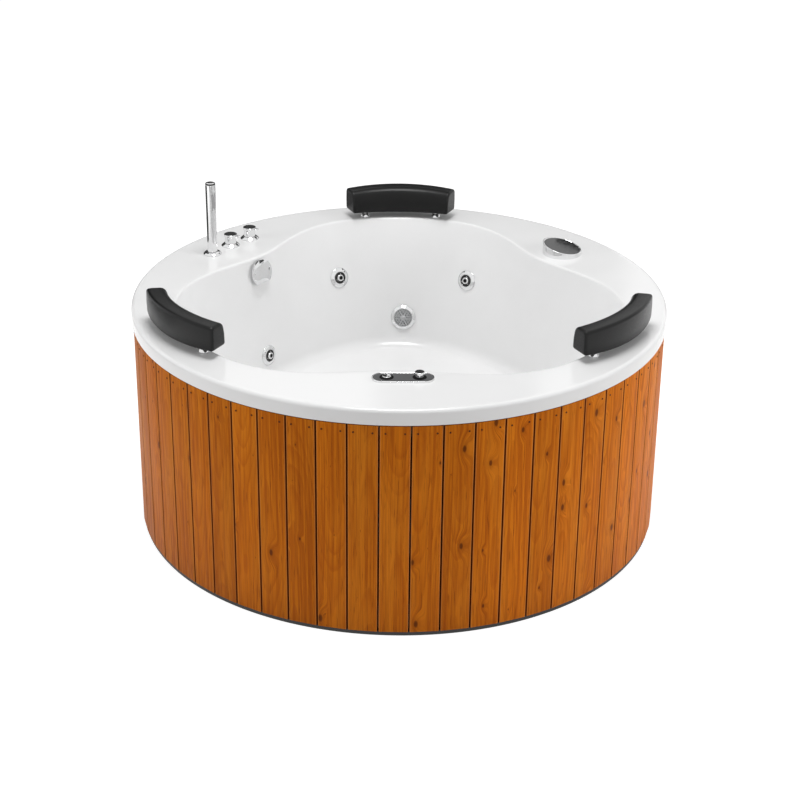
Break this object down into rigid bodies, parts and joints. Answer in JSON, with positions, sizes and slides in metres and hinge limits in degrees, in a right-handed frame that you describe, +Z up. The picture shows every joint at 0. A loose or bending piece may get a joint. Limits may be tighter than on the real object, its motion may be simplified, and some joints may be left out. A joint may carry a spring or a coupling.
{
  "type": "hot tub",
  "caption": "Round jetted hot tub: white three-lobed acrylic bowl in a stained plank skirt, with headrests, turning jets, deck taps, hand shower, controls and pump",
  "frame": {"origin": "on the floor under the middle of the tub", "axes": "+Z up, -Y the front with the control plate, +X to the right"},
  "size_m": [1.5998, 1.5998, 0.9363],
  "materials": {
    "acrylic": "glossy white sanitary acrylic, vacuum formed",
    "stained_pine": "orange-brown stained and varnished pine",
    "nail_steel": "dark nail heads",
    "black_plastic": "black moulded plastic",
    "plywood": "raw birch plywood and battens",
    "painted_steel": "grey painted steel tube",
    "rubber": "black rubber pads",
    "zinc_steel": "zinc-plated steel",
    "headrest_skin": "black moulded polyurethane with a fine leather grain",
    "spray_rubber": "grey soft spray plate",
    "brass": "plain brass valve bodies",
    "pvc": "light grey PVC pipe and fittings",
    "chrome": "polished chrome",
    "grille_chrome": "satin chrome grille",
    "plate_grey": "dark grey plate with a bright edge",
    "panel_glass": "smoked glossy panel face",
    "motor_paint": "blue-grey motor paint",
    "box_grey": "grey splash-proof box"
  },
  "bodies": {
    "tub": {"tub_shell": "acrylic", "skirt_planks_front": "stained_pine", "skirt_planks_back": "stained_pine", "plank_nails": "nail_steel", "base_plinth": "black_plastic", "upper_hoop": "plywood", "lower_hoop": "plywood", "skirt_studs": "plywood", "base_frame": "painted_steel", "levelling_feet": "rubber", "foot_studs": "zinc_steel", "floor_board": "plywood", "headrest_back": "headrest_skin", "headrest_left": "headrest_skin", "headrest_right": "headrest_skin", "headrest_pins": "chrome", "headrest_rosettes": "chrome", "shower_socket": "chrome", "hot_tap_flange": "chrome", "hot_tap_valve": "brass", "cold_tap_flange": "chrome", "cold_tap_valve": "brass", "filler_body": "pvc", "suction_cover": "grille_chrome", "suction_body": "pvc", "suction_screw": "chrome", "water_ring": "pvc", "air_ring": "pvc", "jet_rings": "chrome", "jet_bodies": "pvc", "control_plate": "plate_grey", "button_body": "pvc", "air_valve": "pvc", "panel_bezel": "chrome", "panel_glass": "panel_glass", "drain_flange": "chrome", "drain_trap": "pvc", "overflow_pipe": "pvc", "pump_wet_end": "black_plastic", "pump_motor": "motor_paint", "pump_bracket": "zinc_steel", "suction_pipe": "pvc", "control_box": "box_grey", "cable_gland": "black_plastic"},
    "hand_shower": {"hand_shower": "chrome", "shower_spray_face": "spray_rubber", "shower_cap": "black_plastic"},
    "hot_tap_handle": {"hot_tap_handle": "chrome"},
    "cold_tap_handle": {"cold_tap_handle": "chrome"},
    "filler_dial": {"filler_dial": "chrome"},
    "drain_plug": {"drain_plug": "chrome"},
    "push_button": {"push_button": "chrome"},
    "air_knob": {"air_knob": "chrome"},
    "jet_nozzle_back_left": {"jet_nozzle_back_left": "chrome"},
    "jet_nozzle_back_right": {"jet_nozzle_back_right": "chrome"},
    "jet_nozzle_left_front": {"jet_nozzle_left_front": "chrome"},
    "jet_nozzle_left_back": {"jet_nozzle_left_back": "chrome"},
    "jet_nozzle_right_back": {"jet_nozzle_right_back": "chrome"},
    "jet_nozzle_right_front": {"jet_nozzle_right_front": "chrome"},
    "jet_nozzle_low": {"jet_nozzle_low": "chrome"}
  },
  "joints": [
    {"name": "shower_lift", "type": "slide", "parent": "tub", "child": "hand_shower", "axis": [0, 0, 1], "range_m": [0, 0.3]},
    {"name": "hot_tap_turn", "type": "hinge", "parent": "tub", "child": "hot_tap_handle", "pos_m": [-0.5419, 0.40245, 0.7], "axis": [0, 0, 1], "range_deg": [0, 90]},
    {"name": "cold_tap_turn", "type": "hinge", "parent": "tub", "child": "cold_tap_handle", "pos_m": [-0.48637, 0.46805, 0.7], "axis": [0, 0, 1], "range_deg": [0, 90]},
    {"name": "filler_dial_turn", "type": "hinge", "parent": "tub", "child": "filler_dial", "pos_m": [-0.4444, 0.29748, 0.64953], "axis": [0.7761, -0.6198, 0.1161], "range_deg": [0, 90]},
    {"name": "drain_plug_lift", "type": "slide", "parent": "tub", "child": "drain_plug", "axis": [0, 0, 1], "range_m": [0, 0.012]},
    {"name": "button_press", "type": "slide", "parent": "tub", "child": "push_button", "axis": [0, 0, -1], "range_m": [0, 0.004], "stiffness_N_per_m": 600, "springref_m": -0.004},
    {"name": "air_knob_turn", "type": "hinge", "parent": "tub", "child": "air_knob", "pos_m": [0.05756, -0.59893, 0.7], "axis": [0, 0, 1], "range_deg": [0, 180]},
    {"name": "jet_back_left_turn", "type": "hinge", "parent": "tub", "child": "jet_nozzle_back_left", "pos_m": [-0.20929, 0.59183, 0.51757], "axis": [0.4872, -0.8285, 0.2762], "range_deg": [-60, 60]},
    {"name": "jet_back_right_turn", "type": "hinge", "parent": "tub", "child": "jet_nozzle_back_right", "pos_m": [0.23233, 0.57705, 0.51764], "axis": [-0.5525, -0.7881, 0.2715], "range_deg": [-60, 60]},
    {"name": "jet_left_front_turn", "type": "hinge", "parent": "tub", "child": "jet_nozzle_left_front", "pos_m": [-0.43824, -0.45958, 0.51745], "axis": [0.5813, 0.7645, 0.2786], "range_deg": [-60, 60]},
    {"name": "jet_left_back_turn", "type": "hinge", "parent": "tub", "child": "jet_nozzle_left_back", "pos_m": [-0.62939, -0.05738, 0.51745], "axis": [0.9595, -0.039, 0.279], "range_deg": [-60, 60]},
    {"name": "jet_right_back_turn", "type": "hinge", "parent": "tub", "child": "jet_nozzle_right_back", "pos_m": [0.62964, -0.0845, 0.51744], "axis": [-0.9601, 0.0244, 0.2785], "range_deg": [-60, 60]},
    {"name": "jet_right_front_turn", "type": "hinge", "parent": "tub", "child": "jet_nozzle_right_front", "pos_m": [0.41607, -0.47523, 0.51746], "axis": [-0.5286, 0.8017, 0.2789], "range_deg": [-60, 60]},
    {"name": "jet_low_turn", "type": "hinge", "parent": "tub", "child": "jet_nozzle_low", "pos_m": [-0.43311, 0.28765, 0.36894], "axis": [0.8017, -0.5862, 0.1169], "range_deg": [-60, 60]}
  ],
  "couplings": [
    {"joint": "drain_plug_lift", "follows": "filler_dial_turn", "m_per_rad": 0.0076}
  ]
}
